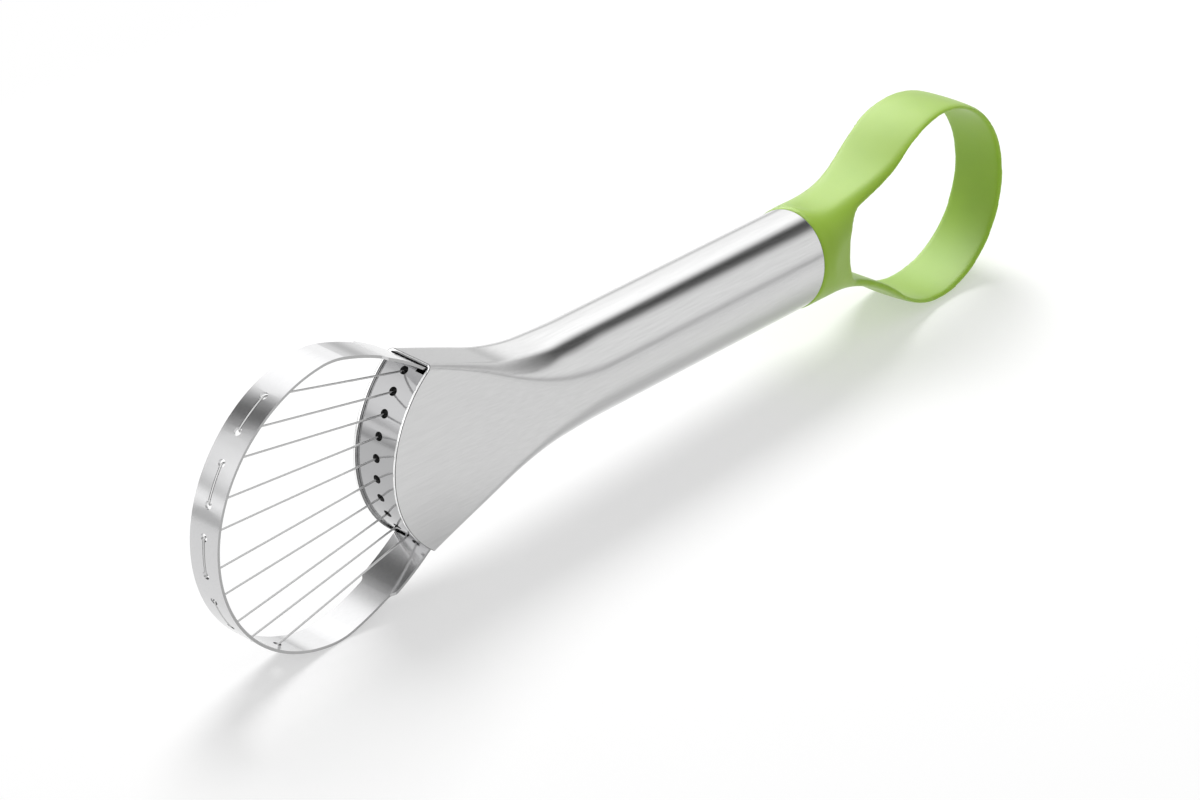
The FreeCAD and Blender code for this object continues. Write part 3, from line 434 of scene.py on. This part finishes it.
# %% Green plastic
CLOUD_SCALE = 90.0
SKIN_SCALE = 2500.0
SKIN_DEPTH = 0.00002
SKIN_BUMP = 0.1
ROUGHNESS_LOW = 0.50
ROUGHNESS_SPREAD = 0.10
GREEN_STOPS = [(0.3, (0.25, 0.43, 0.007)), (0.7, (0.27, 0.45, 0.010))]
PLASTIC_SOCKETS = {"Subsurface Weight": 0.3, "Subsurface Radius": (0.8, 1.0, 0.2),
                   "Subsurface Scale": 0.0018, "Specular IOR Level": 0.65,
                   "Sheen Weight": 0.4, "Sheen Roughness": 0.4}

green_plastic, tree, output = new_material("ring_green_plastic")
place = add_node(tree, "TexCoord").outputs["Object"]
cloud = add_node(tree, "TexNoise", vector=place, scale=CLOUD_SCALE, detail=3.0).outputs["Fac"]
skin = add_node(tree, "TexNoise", vector=place, scale=SKIN_SCALE, detail=3.0).outputs["Fac"]
pores = add_node(tree, "Bump", strength=SKIN_BUMP, distance=SKIN_DEPTH, height=skin)
plastic = add_node(tree, "BsdfPrincipled", base_color=ramp(tree, cloud, GREEN_STOPS),
                   roughness=compute(tree, "MULTIPLY_ADD", skin, ROUGHNESS_SPREAD, ROUGHNESS_LOW),
                   normal=pores.outputs[0])
for name, value in PLASTIC_SOCKETS.items():
    plastic.inputs[name].default_value = value
tree.links.new(plastic.outputs[0], output.inputs[0])
print("finish made:", green_plastic.name)

# %% [markdown]
# ## Helpers for shapes
# A new mesh grows from a ring of points: the ring is extruded step by step, and each new ring is moved
# to its place. That keeps rows of even quads, which reflect light without ripples. A piece that only
# needs more finishes starts from its node: the loose triangles are joined, and every corner keeps the
# normal that it had, so the smooth faces stay as smooth as they were.

# %% Helpers that grow and round a shape


def grow(shape, ring):
    """Extrude a closed ring of points by one step; the new ring keeps the order of the old one."""
    edges = [shape.edges.get((ring[number - 1], ring[number])) for number in range(len(ring))]
    made = bmesh.ops.extrude_edge_only(shape, edges=edges)["geom"]
    fresh = {item for item in made if isinstance(item, bmesh.types.BMVert)}
    return [next(edge.other_vert(point) for edge in point.link_edges if edge.other_vert(point) in fresh)
            for point in ring]


def sharp_edges(shape, angle):
    """The edges whose two faces turn by more than an angle, in degrees."""
    return [edge for edge in shape.edges
            if len(edge.link_faces) == 2 and edge.calc_face_angle() > radians(angle)]


def round_edges(shape, edges, width):
    """Bevel edges in two steps and give back the new faces."""
    return bmesh.ops.bevel(shape, geom=edges, offset=width, offset_type="OFFSET", segments=2,
                           profile=0.5, affect="EDGES", material=-1, clamp_overlap=True)["faces"]


# %% Helpers that copy a node


def merged_copy(node_name):
    """A node's shape with its loose triangles joined; a layer remembers which face each one was."""
    shape = bmesh.new()
    shape.from_mesh(nodes[node_name].data)
    was = shape.faces.layers.int.new("was")
    for face in shape.faces:
        face[was] = face.index
    bmesh.ops.remove_doubles(shape, verts=shape.verts, dist=1e-7)
    return shape


def nearest_corner(source, corners, place):
    """Which of a face's corners lies nearest to a place."""
    def distance(index):
        return (source.vertices[source.loops[index].vertex_index].co - place).length

    return min(corners, key=distance)


def mesh_with_normals(node_name):
    """A node's merged mesh, whose corners keep the normals of the node's own corners."""
    shape = merged_copy(node_name)
    source = nodes[node_name].data
    was = shape.faces.layers.int["was"]
    normals = []
    for face in shape.faces:
        corners = source.polygons[face[was]].loop_indices
        for loop in face.loops:
            near = nearest_corner(source, corners, loop.vert.co)
            normals.append(tuple(source.corner_normals[near].vector))
    mesh = bpy.data.meshes.new(node_name)
    shape.to_mesh(mesh)
    shape.free()
    mesh.shade_smooth()
    mesh.normals_split_custom_set(normals)
    return mesh


# %% Helpers that finish a piece


def finish_mesh(name, mesh, materials, node_name):
    """Make a mesh a piece that stands for one node of the frame."""
    mesh.name = name
    for material in materials:
        mesh.materials.append(material)
    piece = bpy.data.objects.new(name, mesh)
    bpy.context.scene.collection.objects.link(piece)
    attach(piece, "root")
    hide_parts(node_name)
    triangles = sum(len(face.vertices) - 2 for face in mesh.polygons)
    print(name, "has", triangles, "triangles")
    return piece


def finish_shape(name, shape, materials, node_name):
    """Make a bmesh a smooth piece that stands for one node of the frame."""
    mesh = bpy.data.meshes.new(name)
    shape.to_mesh(mesh)
    shape.free()
    mesh.shade_smooth()
    return finish_mesh(name, mesh, materials, node_name)


# %% [markdown]
# ## The handle
# On the real tool this is one seamless tube, pressed flat and wide at one end. It could be a modified
# cylinder, but its reflections would ripple. So a circle of points is extruded from the slanted joint to
# the mouth, and every ring takes the cross-section of its place: round, then flat with round corners.

# %% Cross-sections of the handle
TUBE_RADIUS = 12.5
STRAIGHT = 75.0
FLARE = 54.5
BEND_START = 0.25
BEND_END = 0.62
MOUTH_HALF_HEIGHT = 24.4
MOUTH_HALF_DEPTH = 6.85
MOUTH_CORNER = 1.5
LEAST_FLAT = 0.02


def section_at(x):
    """Half height, half depth, corner radius and flatness of the handle at x."""
    share = max(-x - STRAIGHT, 0) / FLARE
    bend = BEND_END - BEND_START
    slope = 1 / ((1 - BEND_END) + bend / 2)
    rise = 0.0
    if share > BEND_END:
        rise = slope * (share - BEND_END + bend / 2)
    elif share > BEND_START:
        rise = slope * (share - BEND_START) ** 2 / (2 * bend)
    flat = min(share, 1.0) ** 2 * (3 - 2 * min(share, 1.0))
    height = TUBE_RADIUS + (MOUTH_HALF_HEIGHT - TUBE_RADIUS) * rise
    depth = TUBE_RADIUS * (1 - flat) + MOUTH_HALF_DEPTH * flat
    corner = (depth - LEAST_FLAT) * (1 - flat) + MOUTH_CORNER * flat
    return height, depth, corner, flat


print("halfway along the flare:", [round(value, 2) for value in section_at(-STRAIGHT - FLARE / 2)])

# %% Points round a cross-section
QUARTER = 40
WALL_SHARE = 0.5
TOP_SHARE = 0.2


def point_around(number, x):
    """The handle's point at x, counted round from the back wall over the top."""
    height, depth, corner, flat = section_at(x)
    quarter, step = divmod(number, QUARTER)
    share = step / QUARTER if quarter % 2 == 0 else 1 - step / QUARTER
    wall, arc, top = height - corner, corner * pi / 2, depth - corner
    if share < WALL_SHARE:
        along = wall * share / WALL_SHARE
    elif share < 1 - TOP_SHARE:
        along = wall + arc * (share - WALL_SHARE) / (1 - TOP_SHARE - WALL_SHARE)
    else:
        along = wall + arc + top * (share - 1 + TOP_SHARE) / TOP_SHARE
    along = along * flat + share * (wall + arc + top) * (1 - flat)
    y, z = depth, along
    if along > wall + arc:
        y, z = depth - corner - (along - wall - arc), height
    elif along > wall:
        angle = (along - wall) / corner
        y, z = depth - corner + corner * cos(angle), wall + corner * sin(angle)
    return Vector((x, y if quarter in (0, 3) else -y, z if quarter < 2 else -z))


print("points in each ring:", 4 * QUARTER)

# %% The arc of the mouth
ARC_RADIUS = 30.0
ARC_CENTRE = -(STRAIGHT + FLARE) + sqrt(ARC_RADIUS ** 2 - MOUTH_HALF_HEIGHT ** 2)
ARC_TRIES = 8


def mouth_arc_x(number):
    """Where a row of points meets the mouth's arc; its height changes with x, so x is found in tries."""
    x = -STRAIGHT - FLARE
    for _ in range(ARC_TRIES):
        height = min(abs(point_around(number, x).z), ARC_RADIUS)
        x = ARC_CENTRE - sqrt(ARC_RADIUS ** 2 - height ** 2)
    return x


arc_ends = [mouth_arc_x(number) for number in range(4 * QUARTER)]
print("the mouth reaches from", round(min(arc_ends), 2), "to", round(max(arc_ends), 2), "mm")

# %% Extrude the handle
JOINT_SLANT = tan(radians(10))
JOINT_BLEND = 15.0
JOINT_STATIONS = [0.0, -0.2, -0.6, -1.5]
TUBE_STEP = 3.0
TUBE_STEPS = 25
FLARE_STEPS = 42
MOUTH_START = -118.0
MOUTH_STEPS = 22
EDGE_REACHES = [0.985, 1.0]

stations = (JOINT_STATIONS + [-step * TUBE_STEP for step in range(1, TUBE_STEPS + 1)]
            + [-STRAIGHT - step for step in range(1, FLARE_STEPS + 1)])
reaches = [step / MOUTH_STEPS for step in range(1, MOUTH_STEPS)] + EDGE_REACHES
shape = bmesh.new()
bmesh.ops.create_circle(shape, segments=4 * QUARTER, radius=TUBE_RADIUS)
shape.verts.ensure_lookup_table()
ring = list(shape.verts)
for x in stations:
    if x != stations[0]:
        ring = grow(shape, ring)
    for number, point in enumerate(ring):
        place = point_around(number, x)
        place.x += place.z * JOINT_SLANT * max(1 + x / JOINT_BLEND, 0)
        point.co = place
for reach in reaches:
    ring = grow(shape, ring)
    for number, point in enumerate(ring):
        point.co = point_around(number, MOUTH_START + (arc_ends[number] - MOUTH_START) * reach)
bmesh.ops.recalc_face_normals(shape, faces=shape.faces)
print("rings along the handle:", len(stations) + len(reaches))

# %% [markdown]
# ### The wall and its cut edges
# The tube's wall shows at the mouth as a bright line with a thin dark one beside it: the edge was
# ground bright, and the shade and dark reflections on its small rounded corners are painted in. A bright
# strip could be laid along the edge, but it would float. Solidify gives the tube itself a wall, inwards.
# The faces between two sharp rims get the polished finish, and the bevels along those rims get a
# near-black steel, which is painted shade.

# %% Give the handle its wall
TUBE_WALL = 0.8
RIM_ANGLE = 55
MOUTH_BEVEL = 0.24
JOINT_BEVEL = 0.12
POLISHED_EDGE, PAINTED_EDGE_SHADE = 1, 2

outer = max(point.co.y for point in shape.verts)
bmesh.ops.solidify(shape, geom=shape.faces[:], thickness=TUBE_WALL)
print("the wall grew outwards by", round(max(point.co.y for point in shape.verts) - outer, 3), "mm")
rims = sharp_edges(shape, RIM_ANGLE)
mouth_rims = [edge for edge in rims if edge.verts[0].co.x < MOUTH_START]
joint_rims = [edge for edge in rims if edge.verts[0].co.x > -JOINT_BLEND]
for edge in mouth_rims:
    for face in edge.link_faces:
        if sum(other in mouth_rims for other in face.edges) == 2:
            face.material_index = POLISHED_EDGE
# the bevels along the mouth's rims get painted shade
for face in round_edges(shape, mouth_rims, MOUTH_BEVEL):
    face.material_index = PAINTED_EDGE_SHADE
round_edges(shape, joint_rims, JOINT_BEVEL)
bmesh.ops.transform(shape, matrix=to_floor, verts=shape.verts)
finish_shape("handle_shell", shape, (handle_steel, edge_steel, painted_shade_steel),
             "handle_tube")

# %% [markdown]
# ## The band and the plate
# Both are bent strips with holes, and the frame's shapes are right. What they lack is the look of cut
# metal: sheared rims are duller than the rolled faces, and the shade in grooves and holes is painted
# in with near-black steel. New strips could be bent, but they would only repeat the solids. So merged
# copies get more than one finish, chosen by which way a face looks and where it lies.

# %% Cutting band
RIM_FACING = 0.9
RIM_FROM = 1.5 * MM
GROOVE_HALF_WIDTH = 0.37 * MM
LAST_GROOVE_X = -0.08
SHEARED_RIM, PAINTED_GROOVE_SHADE = 1, 2

band_mesh = mesh_with_normals("cutting_band")
rim_faces = groove_faces = 0
for face in band_mesh.polygons:
    corners = [band_mesh.vertices[index].co for index in face.vertices]
    if abs(face.normal.y) > RIM_FACING and abs(face.center.y) > RIM_FROM:
        face.material_index = SHEARED_RIM
        rim_faces += 1
    elif all(abs(corner.y) < GROOVE_HALF_WIDTH and corner.x < LAST_GROOVE_X for corner in corners):
        # painted shade in the wire's groove
        face.material_index = PAINTED_GROOVE_SHADE
        groove_faces += 1
print("rim faces:", rim_faces, "groove faces:", groove_faces)
finish_mesh("band_strip", band_mesh, (band_steel, rim_steel, painted_shade_steel), "cutting_band")

# %% [markdown]
# ### The mouths of the plate's holes
# In the photograph each hole opens wider than the wire needs, like a shallow cone. The imported plate has
# straight holes, whose rear rims carry the sleeves. Drilling them anew would undo the joined faces. The
# points of each hole's wall are found by their distance from its axis, which runs from the arc's centre
# through a sleeve, and only those on the front half are moved outwards. The walls get a near-black
# steel, which is painted shade that makes the holes look dark.

# %% Saddle plate
PLATE_RECESS = 0.7
PLATE_THICKNESS = 0.6
HOLE_RADIUS = 0.75
HOLE_MOUTH = 1.10
HOLE_TOLERANCE = 0.03
PAINTED_HOLE_SHADE = 1

plate_mesh = mesh_with_normals("saddle_plate")
hub = to_floor @ Vector((ARC_CENTRE, 0, 0))
plate_middle = (ARC_RADIUS - PLATE_RECESS - PLATE_THICKNESS / 2) * MM
widened = 0
for name in sorted(name for name in nodes if name.startswith("crimp_sleeve")):
    low, high = (Vector(corner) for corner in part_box(name))
    way = (((low + high) / 2 - hub) * Vector((1, 0, 1))).normalized()
    inside = set()
    for point in plate_mesh.vertices:
        offset = point.co - hub
        radial = offset - way * offset.dot(way)
        on_wall = abs(radial.length - HOLE_RADIUS * MM) < HOLE_TOLERANCE * MM
        if offset.dot(way) > 0 and on_wall:
            inside.add(point.index)
            if offset.dot(way) > plate_middle:
                point.co += radial * (HOLE_MOUTH / HOLE_RADIUS - 1)
                widened += 1
    for face in plate_mesh.polygons:
        if inside.issuperset(face.vertices):
            # painted shade on the hole's wall
            face.material_index = PAINTED_HOLE_SHADE
print("points moved at the holes' mouths:", widened)
finish_mesh("plate_strip", plate_mesh, (plate_painted_shade_steel, painted_hole_shade), "saddle_plate")

# %% [markdown]
# ## The ring
# The pitter is moulded in one piece, with soft edges everywhere and a slight crown that catches the
# light along its middle. Bevels would have to follow every join of ring, collar and lip. Smoothing the
# copy as it is would pull its long thin triangles out of shape. So a Remesh modifier rebuilds it from
# small even faces first, a few rounds of smoothing soften all edges alike, and the outer face is then
# lowered towards its sides.

# %% Rebuild and smooth the ring
OCTREE_DEPTH = 8
OCTREE_FILL = 0.75
SMOOTHING_ROUNDS = 8

shape = merged_copy("pitter_loop")
mesh = bpy.data.meshes.new("ring_source")
shape.to_mesh(mesh)
shape.free()
source = bpy.data.objects.new("ring_source", mesh)
bpy.context.scene.collection.objects.link(source)
remesh = source.modifiers.new("even_faces", "REMESH")
remesh.mode = "SHARP"
remesh.octree_depth = OCTREE_DEPTH
remesh.scale = OCTREE_FILL
remesh.sharpness = 1.0
remesh.use_remove_disconnected = False
even = bpy.data.meshes.new_from_object(source.evaluated_get(bpy.context.evaluated_depsgraph_get()))
shape = bmesh.new()
shape.from_mesh(even)
bpy.data.objects.remove(source)
bpy.data.meshes.remove(mesh)
bpy.data.meshes.remove(even)
for _ in range(SMOOTHING_ROUNDS):
    bmesh.ops.smooth_vert(shape, verts=shape.verts, factor=0.5,
                          use_axis_x=True, use_axis_y=True, use_axis_z=True)
print("points in the ring:", len(shape.verts))

# %% Crown the ring's outer face
CROWN = 0.4
CROWN_START = 16
CROWN_FADE = 16
CREST_HALF_WIDTH = 8.9
RING_CENTRE = Vector((51.2, 0, -1.05))
RING_TURN = radians(-2.8)

to_ring = Matrix.Rotation(-RING_TURN, 4, "X") @ to_floor.inverted()
bmesh.ops.transform(shape, matrix=to_ring, verts=shape.verts)
shape.normal_update()
for point in shape.verts:
    outward = ((point.co - RING_CENTRE) * Vector((1, 0, 1))).normalized()
    past_collar = min(max((point.co.x - CROWN_START) / CROWN_FADE, 0), 1)
    share = past_collar * max(point.normal.dot(outward), 0)
    point.co -= outward * CROWN * share * (point.co.y / CREST_HALF_WIDTH) ** 2
bmesh.ops.transform(shape, matrix=to_ring.inverted(), verts=shape.verts)
ring_piece = finish_shape("pitter_ring", shape, (green_plastic,), "pitter_loop")
sheen_lamp.light_linking.receiver_collection.objects.link(ring_piece)

# %% [markdown]
# ## Finishes for the frame's own nodes
# Wires, sleeves and rivets have the right shape in the frame: round wire, plain tubes, flush heads. They
# could be modelled again, with nothing to gain, so they only get a finish, found by how a node's name
# starts. The sleeves' near-black finish is painted shade, so that the plate's holes look dark. The nodes
# that a new piece replaces get theirs too, so that none is left bare.

# %% Give each node its finish
FINISHES = (("handle_tube", handle_steel), ("cutting_band", band_steel), ("saddle_plate", plate_painted_shade_steel),
            ("cutting_wire", wire_steel), ("crimp_sleeve", crimp_painted_shade), ("tab_rivet", rivet_steel),
            ("pitter_loop", green_plastic))

for name, node in nodes.items():
    finish = next(material for start, material in FINISHES if name.startswith(start))
    node.data.materials.clear()
    node.data.materials.append(finish)
print("nodes with a finish:", len(nodes))
